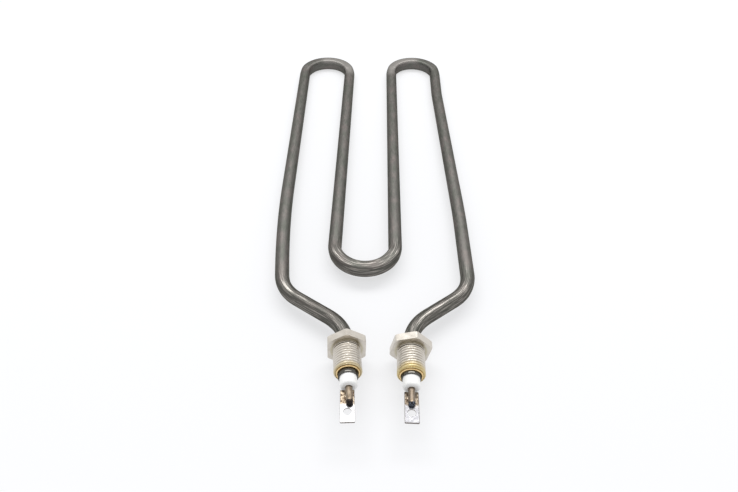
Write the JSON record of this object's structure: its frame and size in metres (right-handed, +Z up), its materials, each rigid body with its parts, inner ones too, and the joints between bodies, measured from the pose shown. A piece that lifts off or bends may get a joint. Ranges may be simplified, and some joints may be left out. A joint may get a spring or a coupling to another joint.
{
  "type": "tubular heating element",
  "caption": "Bent tubular heating element: a steel sheath in a W shape with back and middle bends, ending in hexagon fittings with threaded shanks, ceramic bushes and tab terminals.",
  "frame": {"origin": "centre of the base of the bounding box, on the surface that the element rests on", "axes": "+Z up; +Y from the terminals towards the back bends, along the element's length; +X to the right seen from the terminals"},
  "size_m": [0.117, 0.3242, 0.0227],
  "materials": {
    "oxidised_sheath": "annealed stainless steel, olive grey oxide, satin",
    "magnesia": "pressed magnesium oxide powder, white",
    "resistance_wire": "nickel chromium wire",
    "tinted_pin_steel": "steel pin, heat tinted brown, dark at the weld",
    "potting": "dark silicone potting",
    "white_ceramic": "steatite ceramic, smooth white",
    "nickel_plate": "nickel plated brass, satin",
    "braze_alloy": "brazing metal, golden",
    "tab_steel": "bright steel strip, heat tinted near the weld"
  },
  "bodies": {
    "root": {"heater_sheath": "oxidised_sheath", "magnesia_filling": "magnesia", "resistance_coil": "resistance_wire", "terminal_pin_left": "tinted_pin_steel", "end_seal_left": "potting", "ceramic_bush_left": "white_ceramic", "threaded_fitting_left": "nickel_plate", "braze_ring_left": "braze_alloy", "tab_terminal_left": "tab_steel", "terminal_pin_right": "tinted_pin_steel", "end_seal_right": "potting", "ceramic_bush_right": "white_ceramic", "threaded_fitting_right": "nickel_plate", "braze_ring_right": "braze_alloy", "tab_terminal_right": "tab_steel"}
  },
  "joints": []
}
